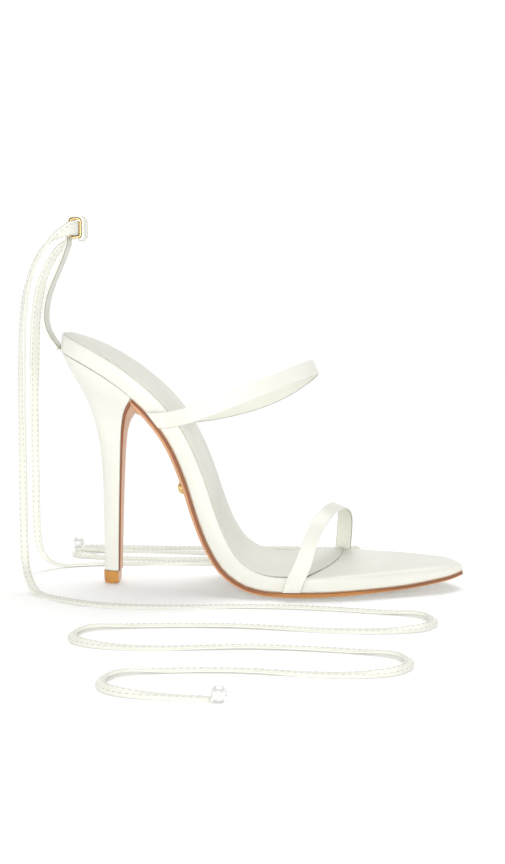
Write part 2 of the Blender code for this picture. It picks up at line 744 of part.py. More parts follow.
def make_tie(name, route, bead_name, collection):
    """Makes one half of the ankle tie as a tube on its route, and the bead on its end."""
    points = route_through(route, TIE_POINTS)
    curve = bpy.data.curves.new(name, "CURVE")
    curve.dimensions = "3D"
    curve.bevel_depth = TIE_DIAMETER / 2 * MM
    curve.bevel_resolution = 2
    curve.use_fill_caps = True
    spline = curve.splines.new("POLY")
    spline.points.add(len(points) - 1)
    for slot, point in zip(spline.points, place(points)):
        slot.co = (*point, 1.0)
    item = bpy.data.objects.new(name, curve)
    collection.objects.link(item)
    finish_for(item, "ivory_leather")
    heading = points[-1] - points[-2]
    heading[2] = 0.0
    heading /= np.linalg.norm(heading)
    radius = BEAD_DIAMETER / 2
    centre = points[-1] + heading * (radius + GAP)
    centre[2] = radius
    bpy.ops.mesh.primitive_uv_sphere_add(
        segments=BEAD_SEGMENTS, ring_count=BEAD_RINGS, radius=radius * MM, location=place(centre)
    )
    bead = bpy.context.object
    bead.name = bead_name
    bead.data.name = bead_name
    for owner in list(bead.users_collection):
        owner.objects.unlink(bead)
    collection.objects.link(bead)
    bead.data.shade_smooth()
    finish_for(bead, "ivory_leather")
    steps = np.linalg.norm(np.diff(points, axis=0), axis=1)
    print(f"{name}: {steps.sum():.0f} mm long, ends at {points[-1].round(1)}")


def make_arch_stud(sole, collection):
    """Makes the plain stud under the arch: a low dome standing on the outsole's underside."""
    rings = []
    thickness = read_table(OUTSOLE_ROWS, STUD_STATION)[0]
    base = -GAP - thickness - GAP
    for turn in np.linspace(0.0, STUD_TOP_ANGLE, STUD_RINGS):
        angle = math.radians(turn)
        radius = STUD_RADIUS * math.cos(angle)
        depth = base - STUD_HEIGHT * math.sin(angle)
        ring = []
        for spoke in np.linspace(0.0, 2.0 * math.pi, STUD_SPOKES, endpoint=False):
            station = STUD_STATION + radius * math.cos(spoke)
            ring.append(sole.point(station, STUD_Y + radius * math.sin(spoke), depth))
        rings.append(ring)
    solid_from_rings("arch_stud", rings, collection, "gold_metal")


def main():
    clear_scene()
    sandal = new_collection("lace_up_sandal")
    sole = SoleLine()
    print(f"sole line {sole.length:.1f} mm")
    make_footbed(sole, sandal)
    make_sock(sole, sandal)
    make_outsole(sole, sandal)
    make_heel(sole, sandal)
    make_top_piece(sandal)
    make_straps(sandal)
    make_back_strap(sandal)
    make_keeper(sandal)
    make_tie("tie_near", tie_route(NEAR_HANG, NEAR_FOLDS, NEAR_SIDE, NEAR_END), "bead_near", sandal)
    make_tie("tie_far", tie_route(FAR_HANG, FAR_FOLDS, FAR_SIDE, FAR_END), "bead_far", sandal)
    make_arch_stud(sole, sandal)


main()
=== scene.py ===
# %% [markdown]
# A lace-up stiletto sandal
#
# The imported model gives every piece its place. This lesson gives the pieces their looks: leather with
# rounded, inked edges, a polished sole, a heel tip, gold trim, and two long ties with their stitches.
# Lengths in the tables are in millimetres from the back of the heel seat: x to the toe, y to the inner
# side of the foot, z up from the floor.

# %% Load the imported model
import math
from collections import namedtuple

import bpy
import numpy as np
from mathutils import Matrix, Vector


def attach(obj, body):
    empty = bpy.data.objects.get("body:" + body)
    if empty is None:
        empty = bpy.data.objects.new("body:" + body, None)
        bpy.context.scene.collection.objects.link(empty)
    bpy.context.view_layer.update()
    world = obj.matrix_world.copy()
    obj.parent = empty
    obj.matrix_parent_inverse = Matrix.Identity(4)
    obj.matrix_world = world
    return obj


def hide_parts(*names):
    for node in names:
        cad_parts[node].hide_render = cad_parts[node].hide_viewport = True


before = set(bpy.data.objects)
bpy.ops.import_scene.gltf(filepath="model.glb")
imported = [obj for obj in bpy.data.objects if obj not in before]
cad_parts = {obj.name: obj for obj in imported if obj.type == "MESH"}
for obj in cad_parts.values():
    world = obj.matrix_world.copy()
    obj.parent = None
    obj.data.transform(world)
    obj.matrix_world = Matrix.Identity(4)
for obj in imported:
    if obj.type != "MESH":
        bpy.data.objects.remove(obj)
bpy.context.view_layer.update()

# %% [markdown]
# Millimetres to metres
#
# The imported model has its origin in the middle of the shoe's box, so a point of the tables is shifted by
# the same amount that the part's source uses, and then scaled.

# %% A point of the tables in the model's frame
MM = 0.001
SHOE_MIDDLE = np.array((94.4, 1.9, 0.0))
TOE_END = (196.9, 0.0, 9.0)


def place(points):
    """Turns millimetres from the back of the heel seat into metres in the model's frame."""
    return (np.asarray(points, float) - SHOE_MIDDLE) * MM


print("the toe's end lies at", place(TOE_END).round(4))

# %% [markdown]
# The camera
#
# The photograph looks at the outer side from a little above the heel seat. The camera's place was found by
# matching the edges of the sole and the heel, so it is given as a place, two angles and a lens. A camera
# looks along its own -Z axis, so the way back from the shoe is tracked with +Z.

# %% Camera at the photograph's angle
CAMERA_PLACE = (154.46, -724.71, 150.64)
CAMERA_TURN = 4.7586
CAMERA_DOWN = 5.9031
CAMERA_LENS = 62.5
SENSOR_HEIGHT = 36.0
CLIP_NEAR = 0.01
CLIP_FAR = 50.0

bpy.ops.object.select_all(action="DESELECT")
bpy.ops.object.camera_add(location=place(CAMERA_PLACE))
camera = bpy.context.object
camera.name = "photo_camera"
turn = math.radians(CAMERA_TURN)
down = math.radians(CAMERA_DOWN)
way_back = Vector((math.sin(turn) * math.cos(down), -math.cos(turn) * math.cos(down), math.sin(down)))
camera.rotation_euler = way_back.to_track_quat("Z", "Y").to_euler()
camera.data.lens = CAMERA_LENS
camera.data.sensor_fit = "VERTICAL"
camera.data.sensor_height = SENSOR_HEIGHT
camera.data.clip_start = CLIP_NEAR
camera.data.clip_end = CLIP_FAR
bpy.context.scene.camera = camera
print("camera", camera.location.to_tuple(3))

# %% [markdown]
# Shader maths
#
# A finish is a small network of nodes. Written out node by node it is hard to read, so one class wraps a
# socket: arithmetic on it adds Math nodes, and its node method adds any other kind.

# %% A socket that can be calculated with
class Signal:
    """A socket in a material's nodes, which adds the nodes for what is done with it."""

    def __init__(self, socket):
        self.socket = socket

    def node(self, kind, settings=(), inputs=(), output=0):
        """Adds a node: its settings are set first, then the values or links of its sockets."""
        tree = self.socket.id_data
        made = tree.nodes.new(kind)
        for name, value in dict(settings).items():
            setattr(made, name, value)
        for name, value in dict(inputs).items():
            if isinstance(value, Signal):
                tree.links.new(value.socket, made.inputs[name])
            else:
                made.inputs[name].default_value = value
        return Signal(made.outputs[output])

    def math(self, operation, first, second):
        """Adds a Math node."""
        return self.node("ShaderNodeMath", {"operation": operation}, {0: first, 1: second})

    def __add__(self, other):
        return self.math("ADD", self, other)

    def __radd__(self, other):
        return self.math("ADD", other, self)

    def __sub__(self, other):
        return self.math("SUBTRACT", self, other)

    def __rsub__(self, other):
        return self.math("SUBTRACT", other, self)

    def __mul__(self, other):
        return self.math("MULTIPLY", self, other)

    def __rmul__(self, other):
        return self.math("MULTIPLY", other, self)

    def between(self, low, high):
        """Maps low to 0 and high to 1, softly, and holds the ends."""
        settings = {"interpolation_type": "SMOOTHSTEP"}
        return self.node("ShaderNodeMapRange", settings, {0: self, 1: low, 2: high})

    def mix(self, first, second):
        """Mixes two colours, taking itself as the share of the second."""
        return self.node("ShaderNodeMix", {"data_type": "RGBA"}, {0: self, 6: first, 7: second}, 2)


print("signals add nodes for +, - and *")

# %% [markdown]
# Starting a finish
#
# A new material already has the shader that nearly every surface needs. A finish only feeds its sockets: a
# signal where the value changes over the piece, and a constant where it doesn't. The patterns use the
# piece's own coordinates, so they don't slide when it moves. Noise is the pattern that most of them need.

# %% A new finish, its sockets and its noise
def start_finish(name):
    """Makes a material and gives it with its shader and its Object coordinates."""
    material = bpy.data.materials.new(name)
    material.use_nodes = True
    tree = material.node_tree
    shader = tree.nodes["Principled BSDF"]
    coordinates = tree.nodes.new("ShaderNodeTexCoord")
    return material, shader, Signal(coordinates.outputs["Object"])


def feed(shader, name, value):
    """Links a signal to a socket of the shader, or sets a constant on it."""
    socket = shader.inputs[name]
    if isinstance(value, Signal):
        shader.id_data.links.new(value.socket, socket)
    else:
        socket.default_value = value


def noise(coords, scale, detail):
    """Adds a noise texture on the piece's own coordinates."""
    return coords.node("ShaderNodeTexNoise", {}, {"Vector": coords, "Scale": scale, "Detail": detail})


def raise_bumps(shader, coords, height, strength, distance):
    """Raises a pattern over the surface by a distance in metres."""
    inputs = {"Strength": strength, "Distance": distance, "Height": height}
    feed(shader, "Normal", coords.node("ShaderNodeBump", {}, inputs))


print("finishes start from one shader each")

# %% [markdown]
# Leather
#
# The shoe is covered in smooth ivory calf leather, and lined with a greyer, duller leather. The straps and
# ties are lined with a leather painted lighter than the ivory, as painted fill light on their shaded insides.
# Calf has pores too small to count from a metre away and a slow change of tone from hide to hide. Both come
# from noise: a slow one tints the colour, and a fine one with small cells raises the grain by a few
# hundredths of a millimetre.

# %% Ivory leather and lining leather
TONE_SCALE = 45.0
TONE_DETAIL = 3.0
TONE_RANGE = (0.3, 0.7)
PEBBLE_SCALE = 1100.0
PEBBLE_SHARE = 0.6
PORE_SCALE = 3200.0
PORE_DETAIL = 2.0
PORE_SHARE = 0.5
PORE_GLOSS = 0.12
LEATHER_COAT_ROUGHNESS = 0.25
GRAIN_STRENGTH = 0.5


def leather_finish(name, light, dark, roughness, coat, grain):
    """Makes a leather: two tones, its roughness, a thin coat and the height of its grain in metres."""
    material, shader, coords = start_finish(name)
    tone = noise(coords, TONE_SCALE, TONE_DETAIL)
    cells = {"Vector": coords, "Scale": PEBBLE_SCALE}
    pebbles = coords.node("ShaderNodeTexVoronoi", {"feature": "SMOOTH_F1"}, cells)
    pores = noise(coords, PORE_SCALE, PORE_DETAIL)
    feed(shader, "Base Color", tone.between(*TONE_RANGE).mix((*light, 1.0), (*dark, 1.0)))
    feed(shader, "Roughness", pores * PORE_GLOSS + (roughness - PORE_GLOSS / 2))
    feed(shader, "Coat Weight", coat)
    feed(shader, "Coat Roughness", LEATHER_COAT_ROUGHNESS)
    raise_bumps(shader, coords, pebbles * PEBBLE_SHARE + pores * PORE_SHARE, GRAIN_STRENGTH, grain)
    return material


ivory = leather_finish("ivory_leather", (0.78, 0.772, 0.7), (0.755, 0.745, 0.67), 0.42, 0.12, 0.00005)
lining = leather_finish("lining_leather", (0.718, 0.714, 0.647), (0.686, 0.681, 0.614), 0.55, 0.0, 0.00008)
# The straps' and ties' lining is painted lighter than the ivory: painted fill light on their shaded insides.
strap_lining_painted_fill = leather_finish("strap_lining_painted_fill", (0.86, 0.855, 0.775), (0.835, 0.83, 0.75), 0.5, 0.0, 0.00006)
# A near-black finish that draws the fine dark line along the straps' inner edge chamfers.
strap_edge_line = leather_finish("strap_edge_line", (0.26, 0.245, 0.2), (0.2, 0.185, 0.15), 0.55, 0.0, 0.00004)
print("leathers:", ivory.name, lining.name, strap_lining_painted_fill.name, strap_edge_line.name)

# %% [markdown]
# Sole leather
#
# The sole's upright edge is stained and burnished: dark brown along the waist, tan at the ball and brown
# again at the toe, with a dark line at the seam above it. Its bevel and face are paler and polished. The
# cut edge of the sock changes in the same way, from pale at the waist to dark at the ball. So one finish
# takes three colours and blends them along the shoe, and a fibrous noise dulls it where it is worn.

# %% Edge, face and seam line of the sole, and the sock's cut edge
WAIST_END = place((92.0, 0.0, 0.0))[0]
BALL_START = place((118.0, 0.0, 0.0))[0]
BALL_END = place((140.0, 0.0, 0.0))[0]
TOE_START = place((172.0, 0.0, 0.0))[0]
FIBRE_SCALE = 700.0
FIBRE_DETAIL = 4.0
FIBRE_GLOSS = 0.2
FIBRE_STRENGTH = 0.4
FIBRE_HEIGHT = 0.00006
WEAR_SCALE = 90.0
WEAR_DETAIL = 3.0
WEAR_RANGE = (0.18, 0.5)
WEAR_SHARE = 0.35
WEAR_SHADE = 0.72
SOLE_COAT_ROUGHNESS = 0.15


def sole_finish(name, waist, ball, toe, roughness, coat):
    """Makes sole leather whose colour changes from the waist over the ball to the toe, with a fibre."""
    material, shader, coords = start_finish(name)
    x = coords.node("ShaderNodeSeparateXYZ", {}, {0: coords}, "X")
    to_ball = x.between(float(WAIST_END), float(BALL_START))
    to_toe = x.between(float(BALL_END), float(TOE_START))
    fibre = noise(coords, FIBRE_SCALE, FIBRE_DETAIL)
    wear = (fibre * noise(coords, WEAR_SCALE, WEAR_DETAIL)).between(*WEAR_RANGE) * WEAR_SHARE
    base = to_toe.mix(to_ball.mix((*waist, 1.0), (*ball, 1.0)), (*toe, 1.0))
    dull = [WEAR_SHADE * (a + b) / 2 for a, b in zip(waist, ball)]
    feed(shader, "Base Color", wear.mix(base, (*dull, 1.0)))
    feed(shader, "Roughness", fibre * FIBRE_GLOSS + (roughness - FIBRE_GLOSS / 2))
    feed(shader, "Coat Weight", coat)
    feed(shader, "Coat Roughness", SOLE_COAT_ROUGHNESS)
    raise_bumps(shader, coords, fibre, FIBRE_STRENGTH, FIBRE_HEIGHT)
    return material


sole_edge = sole_finish(
    "sole_edge", (0.27, 0.085, 0.025), (0.47, 0.185, 0.035), (0.27, 0.1, 0.04), 0.5, 0.06
)
sole_face = sole_finish("sole_face", (0.7, 0.36, 0.18), (0.6, 0.28, 0.1), (0.6, 0.3, 0.13), 0.42, 0.2)
# A near-black finish that draws the dark line along the seam chamfer above the sole's edge.
sole_seam_line = sole_finish("sole_seam_line", (0.06, 0.022, 0.01), (0.1, 0.035, 0.012), (0.08, 0.03, 0.014), 0.5, 0.0)
cut_edge = sole_finish("cut_edge", (0.66, 0.65, 0.59), (0.24, 0.22, 0.18), (0.24, 0.22, 0.18), 0.6, 0.0)
print("sole leathers:", sole_edge.name, sole_face.name, sole_seam_line.name, cut_edge.name)

# %% [markdown]
# Hard finishes and thread
#
# The heel tip is amber plastic, the trim is gold-tone metal, and the beads are pearly. Such things have no
# grain, but handling leaves faint smears, so a fine noise changes their gloss a little. The thread is a
# shade darker than the leather, and a leather finish with hardly any grain is close enough for it.

# %% Tip, metal, bead and thread
SOLID_DETAIL = 2.0
SMEAR_FINER = 4.0
SMEAR_DETAIL = 3.0
SMEAR_GLOSS = 0.16
SMEAR_STRENGTH = 0.2
SMEAR_HEIGHT = 0.00004


def solid_finish(name, light, dark, roughness, metallic, coat, scale):
    """Makes a hard, even finish with a faint change of tone and of gloss."""
    material, shader, coords = start_finish(name)
    tone = noise(coords, scale, SOLID_DETAIL)
    smear = noise(coords, scale * SMEAR_FINER, SMEAR_DETAIL)
    feed(shader, "Base Color", tone.between(*TONE_RANGE).mix((*light, 1.0), (*dark, 1.0)))
    feed(shader, "Roughness", smear * SMEAR_GLOSS + (roughness - SMEAR_GLOSS / 2))
    feed(shader, "Metallic", metallic)
    feed(shader, "Coat Weight", coat)
    raise_bumps(shader, coords, smear, SMEAR_STRENGTH, SMEAR_HEIGHT)
    return material


amber = solid_finish("amber_tip", (0.58, 0.26, 0.045), (0.46, 0.19, 0.03), 0.32, 0.0, 0.3, 260.0)
gold = solid_finish("gold_metal", (0.83, 0.6, 0.27), (0.76, 0.52, 0.2), 0.16, 1.0, 0.0, 300.0)
pearl = solid_finish("pearl_bead", (0.86, 0.86, 0.83), (0.74, 0.74, 0.72), 0.2, 0.25, 0.6, 420.0)
thread = leather_finish("stitch_thread", (0.56, 0.55, 0.48), (0.47, 0.46, 0.4), 0.6, 0.0, 0.00003)
print("hard finishes and thread:", amber.name, gold.name, pearl.name, thread.name)

# %% [markdown]
# Working by hand
#
# Operators act on all that is selected, so each step first selects just what it works on. These helpers
# select one object, open it in edit mode with some of its faces selected, and add and apply a modifier.

# %% Selecting, editing and applying
BEVEL_ANGLE = 30.0
SMOOTH_ANGLE = 40.0


def only(item):
    """Selects one object and makes it the active one."""
    bpy.ops.object.select_all(action="DESELECT")
    item.select_set(True)
    bpy.context.view_layer.objects.active = item


def open_faces(item, test):
    """Opens an object in edit mode with those faces selected that pass the test."""
    only(item)
    item.data.vertices.foreach_set("select", [False] * len(item.data.vertices))
    item.data.edges.foreach_set("select", [False] * len(item.data.edges))
    item.data.polygons.foreach_set("select", [bool(test(face)) for face in item.data.polygons])
    bpy.context.tool_settings.mesh_select_mode = (False, False, True)
    bpy.ops.object.mode_set(mode="EDIT")


def close():
    """Goes back to object mode."""
    bpy.ops.object.mode_set(mode="OBJECT")


def apply(item, kind, **settings):
    """Adds a modifier with its settings and applies it."""
    only(item)
    modifier = item.modifiers.new(kind.lower(), kind)
    for name, value in settings.items():
        setattr(modifier, name, value)
    bpy.ops.object.modifier_apply(modifier=modifier.name)


def round_edges(item, width, segments=2, angle=BEVEL_ANGLE):
    """Rounds every edge sharper than the angle."""
    apply(
        item, "BEVEL", width=width * MM, segments=segments, limit_method="ANGLE",
        angle_limit=math.radians(angle), use_clamp_overlap=True,
    )


def smooth(item, angle=SMOOTH_ANGLE):
    """Shades an object smooth, apart from edges sharper than the angle."""
    only(item)
    bpy.ops.object.shade_smooth_by_angle(angle=math.radians(angle))


print("hand tools: select, open, close, apply, round and smooth")

# %% [markdown]
# A piece in a node's place
#
# The imported model's own nodes stay as they are. A piece that starts from one is a copy: its loose triangles
# are merged, and pairs of them are joined to quads, because bevels and subdivision follow quads better.
# Each finished piece is then attached to the body it rides on, and the node it stands for is hidden.

# %% Copying a node and standing for it
MERGE_DISTANCE = 1e-6
QUAD_BEND = 40.0
QUAD_SKEW = 60.0


def own_copy(node, name):
    """Copies a CAD node into a piece of its own and merges its loose triangles into a skin of quads."""
    piece = bpy.data.objects.new(name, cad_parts[node].data.copy())
    bpy.context.scene.collection.objects.link(piece)
    piece.data.materials.clear()
    open_faces(piece, lambda face: True)
    bpy.ops.mesh.remove_doubles(threshold=MERGE_DISTANCE)
    bpy.ops.mesh.tris_convert_to_quads(
        face_threshold=math.radians(QUAD_BEND), shape_threshold=math.radians(QUAD_SKEW)
    )
    close()
    return piece


def stand_for(piece, node):
    """Lets a piece ride on the shoe in a CAD node's place, and hides the node."""
    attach(piece, "root")
    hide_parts(node)
    faces = len(piece.data.polygons)
    print(f"{piece.name}: {faces} faces, stands for {node}")


print(len(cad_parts), "nodes wait for their pieces")

# %% [markdown]
# The ties' routes
#
# The ankle tie is one long strip of leather that passes through the loop at the back, so each side of it is
# a limp cord that hangs down behind the heel and lies on the floor in loose folds. The routes are those of
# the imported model: a list of points down to the floor, and then a row for each fold.

# %% Routes of both ties
TIE_FLOOR = 2.0
LOOP_X = 8.8
LOOP_Z = 174.0
NEAR_SIDE = -1.0
FAR_SIDE = 1.0
NEAR_HANG = (
    (LOOP_X, -0.4, LOOP_Z), (LOOP_X, -11.0, LOOP_Z), (7.2, -17.0, 173.0), (2.5, -20.8, 170.0),
    (-4.0, -22.4, 163.0), (-9.5, -22.8, 151.0), (-12.8, -22.6, 135.0), (-14.2, -22.0, 112.0),
    (-14.6, -22.0, 80.0), (-14.6, -22.0, 45.0), (-14.4, -22.4, 24.0), (-12.4, -25.6, 10.0),
    (-7.0, -32.5, 3.2), (4.0, -43.5, TIE_FLOOR), (26.0, -56.0, TIE_FLOOR),
)
FAR_HANG = (
    (LOOP_X, 0.4, LOOP_Z), (LOOP_X, 11.0, LOOP_Z), (6.8, 17.0, 173.0), (1.0, 20.8, 170.0),
    (-6.5, 22.4, 163.0), (-13.0, 22.8, 151.0), (-16.8, 22.6, 135.0), (-18.2, 22.0, 112.0),
    (-18.6, 22.0, 80.0), (-18.6, 22.0, 45.0), (-18.4, 22.4, 24.0), (-16.2, 25.2, 10.0),
    (-10.4, 31.6, 3.2), (2.0, 38.5, TIE_FLOOR), (24.0, 44.0, TIE_FLOOR),
)
FOLD_COLUMNS = ("x", "y", "radius", "sway")
NEAR_FOLDS = (
    (162.0, -79.0, 18.0, 5.0),
    (46.0, -115.0, 18.0, 4.0),
    (150.0, -151.0, 18.0, 4.0),
    (70.0, -186.0, 17.0, 3.0),
)
FAR_FOLDS = ((178.0, 53.3, 8.2, 1.5), (0.0, 69.7, 8.2, 1.0), (138.0, 86.0, 8.1, -1.5))
NEAR_END = (96.0, -205.0)
FAR_END = (-8.0, 93.0)
FOLD_TURNS = (-90.0, -45.0, 0.0, 45.0, 90.0)


def tie_route(hang, folds, side, end):
    """Lists a tie's route: down behind the heel, then to and fro on the floor, with a half turn a fold."""
    rows = list(hang)
    for fold, (x, y, radius, sway) in enumerate(folds):
        facing = 1.0 if fold % 2 == 0 else -1.0
        entry_y = y - side * radius
        rows.append(((rows[-1][0] + x) / 2, (rows[-1][1] + entry_y) / 2 + sway, TIE_FLOOR))
        for degrees in FOLD_TURNS:
            angle = math.radians(degrees)
            outwards = facing * radius * math.cos(angle)
            rows.append((x + outwards, y + side * radius * math.sin(angle), TIE_FLOOR))
    rows.append(((rows[-1][0] + end[0]) / 2, (rows[-1][1] + end[1]) / 2, TIE_FLOOR))
    rows.append((*end, TIE_FLOOR))
    return np.asarray(rows)


near_points = tie_route(NEAR_HANG, NEAR_FOLDS, NEAR_SIDE, NEAR_END)
far_points = tie_route(FAR_HANG, FAR_FOLDS, FAR_SIDE, FAR_END)
print(len(near_points), "and", len(far_points), "points on the ties")

# %% [markdown]
# A smooth curve through the points
#
# Straight lines between the points would look like bent wire. A cubic spline passes through all of them and
# keeps every bend smooth, because it changes its curvature evenly from point to point. Even steps along it
# then give the rings of the strip.

# %% Even steps along a spline
TIE_STEP = 2.0
FINE_STEP = 0.5


def lengths_along(points):
    """Measures how far along a chain of points each one lies."""
    steps = np.linalg.norm(np.diff(points, axis=0), axis=1)
    return np.concatenate(([0.0], np.cumsum(steps)))


def spline(knots, values, at):
    """Reads a cubic spline through the knots, free at both ends."""
    step = np.diff(knots)
    rise = np.diff(values, axis=0) / step[:, None]
    matrix = np.eye(len(knots))
    right = np.zeros_like(values)
    for row in range(1, len(knots) - 1):
        matrix[row, row - 1:row + 2] = (step[row - 1], 2.0 * (step[row - 1] + step[row]), step[row])
        right[row] = 6.0 * (rise[row] - rise[row - 1])
    bend = np.linalg.solve(matrix, right)
    cell = np.clip(np.searchsorted(knots, at, side="right") - 1, 0, len(step) - 1)
    width = step[cell][:, None]
    before = (knots[cell + 1] - at)[:, None]
    after = (at - knots[cell])[:, None]
    curve = (bend[cell] * before ** 3 + bend[cell + 1] * after ** 3) / (6.0 * width)
    start = (values[cell] / width - bend[cell] * width / 6.0) * before
    end = (values[cell + 1] / width - bend[cell + 1] * width / 6.0) * after
    return curve + start + end


def even_route(rows, step):
    """Reads points from a smooth curve through the rows, about a step apart."""
    knots = lengths_along(rows)
    fine = spline(knots, rows, np.arange(0.0, knots[-1], FINE_STEP))
    along = lengths_along(fine)
    even = np.linspace(0.0, along[-1], int(along[-1] / step) + 1)
    return np.stack([np.interp(even, along, column) for column in fine.T], axis=1)


near_route = even_route(near_points, TIE_STEP)
far_route = even_route(far_points, TIE_STEP)
print(f"ties {lengths_along(near_route)[-1]:.0f} and {lengths_along(far_route)[-1]:.0f} mm long")

# %% [markdown]
# How a flat strip lies
#
# A strip of leather bends easily over its face and hardly at all over its edge. In the loop its width
# stands upright. It turns back and down with its face outwards, twists a little as it hangs, and lies flat
# on the floor. In a tight turn on the floor its inner edge lifts, which is how a flat lace gets round a
# corner. So the strip needs a width direction at every ring. These are the tables for it: the direction
# while the strip hangs, and its width and thickness, with three small helpers to read and ease them.

# %% How the strip twists, and how wide it is
TWIST_COLUMNS = ("along", "x", "outwards", "z")
TWIST_ROWS = (
    (0.0, 0.0, 0.0, 1.0),
    (9.0, 0.0, 0.0, 1.0),
    (34.0, 0.42, 0.91, 0.0),
    (75.0, 0.55, 0.83, 0.0),
    (150.0, 1.0, 0.1, 0.0),
    (175.0, 1.0, 0.0, 0.0),
)
BAND_COLUMNS = ("along", "width", "thickness")
BAND_ROWS = (
    (0.0, 7.2, 3.2),
    (9.0, 7.0, 3.0),
    (30.0, 6.4, 1.7),
    (70.0, 5.8, 1.7),
    (96.0, 5.3, 1.6),
    (108.0, 4.0, 1.5),
    (2000.0, 4.0, 1.5),
)


def unit(vectors):
    """Scales each vector to length one."""
    return vectors / np.linalg.norm(vectors, axis=-1, keepdims=True)


def ease(value):
    """Eases a share between 0 and 1, held at both ends."""
    held = np.clip(value, 0.0, 1.0)
    return held * held * (3.0 - 2.0 * held)


def read_rows(rows, at):
    """Reads every column of a table but its first, at values of the first."""
    rows = np.asarray(rows, float)
    return np.stack([np.interp(at, rows[:, 0], column) for column in rows[:, 1:].T], axis=-1)


print("width and thickness 50 mm along:", read_rows(BAND_ROWS, 50.0).round(2))

# %% [markdown]
# Laying the strip
#
# The width direction comes from the table while the strip hangs. On the floor it is level and square to the
# route, and rolled by the turn's tightness, with a slow waver that keeps a lying lace from looking ruled.
# Between the two the strip eases over, and every ring is lifted until its lowest corner is on the floor.

# %% Width direction, face direction and height of each ring
LANDING_HEIGHT = 3.0
LANDING_SOFTNESS = 40.0
ROLL_LENGTH = 11.0
ROLL_SPREAD = 7
WAVER = 5.0
WAVER_LENGTHS = (37.0, 61.0)
# Keeps the level direction from having no length where a stretch hangs plumb.
TINY_RISE = 1e-9
Strip = namedtuple("Strip", "middle heading across face width thickness")


def lay_strip(route, side):
    """Gives a strip's middle, heading, width direction, face direction, width and thickness at each ring."""
    along = lengths_along(route)
    heading = unit(np.gradient(route, along, axis=0))
    width, thickness = read_rows(BAND_ROWS, along).T
    hanging = read_rows(TWIST_ROWS, along)
    hanging[:, 1] *= side
    level = unit(np.stack((heading[:, 1], -heading[:, 0], np.full(len(route), TINY_RISE)), axis=1)) * side
    landing = along[np.argmax(route[:, 2] < LANDING_HEIGHT)]
    landed = ease((along - landing) / LANDING_SOFTNESS + 1.0)[:, None]
    across = hanging * (1.0 - landed) + level * landed
    across = unit(across - heading * np.sum(across * heading, axis=1, keepdims=True))
    face = np.cross(across, heading) * side
    turning = np.gradient(np.unwrap(np.arctan2(heading[:, 1], heading[:, 0])), along)
    window = np.hanning(2 * ROLL_SPREAD + 3)[1:-1]
    turning = np.convolve(np.pad(turning, ROLL_SPREAD, mode="edge"), window / window.sum(), "valid")
    roll = -side * np.arctan(turning * ROLL_LENGTH) * landed[:, 0]
    waver = sum(np.sin(along / length) for length in WAVER_LENGTHS) / len(WAVER_LENGTHS)
    roll = (roll + math.radians(WAVER) * waver * landed[:, 0])[:, None]
    across, face = across * np.cos(roll) + face * np.sin(roll), face * np.cos(roll) - across * np.sin(roll)
    lift = np.abs(across[:, 2]) * width / 2 + np.abs(face[:, 2]) * thickness / 2
    middle = route.copy()
    lying = route[:, 2] - TIE_FLOOR + lift
    middle[:, 2] = np.maximum(route[:, 2] * (1.0 - landed[:, 0]) + lying * landed[:, 0], lift * landed[:, 0])
    return Strip(middle, heading, across, face, width, thickness)


near_strip = lay_strip(near_route, NEAR_SIDE)
far_strip = lay_strip(far_route, FAR_SIDE)
lowest = min(strip.middle[:, 2].min() for strip in (near_strip, far_strip))
print(f"lowest middle of a tie {lowest:.2f} mm")

# %% [markdown]
# The strips
#
# The tie is sewn from two layers: ivory leather outside and lining inside, with a fine groove between them
# along each edge. A grid has the right make-up for such a strip: one row of points for each ring and one
# column for each point of the section. The grid is laid on the route ring by ring, its two long sides are
# merged into a tube, and the open ends are filled.

# %% A strip from a grid
SECTION_COLUMNS = ("across", "out")
OUTER_SECTION = (
    (-0.95, 0.3), (-0.84, 0.46), (-0.45, 0.5), (0.0, 0.5), (0.45, 0.5), (0.84, 0.46), (0.95, 0.3),
)
EDGE_SECTION = ((1.0, 0.12), (0.94, 0.0), (0.98, -0.12))
INNER_SECTION = ((0.93, -0.34), (0.82, -0.47), (0.4, -0.5), (-0.4, -0.5), (-0.82, -0.47), (-0.93, -0.34))
FAR_EDGE_SECTION = ((-0.98, -0.12), (-0.94, 0.0), (-1.0, 0.12))
SECTION = np.array(OUTER_SECTION + EDGE_SECTION + INNER_SECTION + FAR_EDGE_SECTION)
OUTER, INNER, GROOVE = 0, 1, 2
GROOVE_REACH = 0.1
STRIP_SMOOTH_ANGLE = 50.0


def section_finishes():
    """Lists which layer each face round the section belongs to."""
    outs = (SECTION[:, 1] + np.roll(SECTION[:, 1], -1)) / 2
    return np.where(np.abs(outs) < GROOVE_REACH, GROOVE, np.where(outs > 0.0, OUTER, INNER))


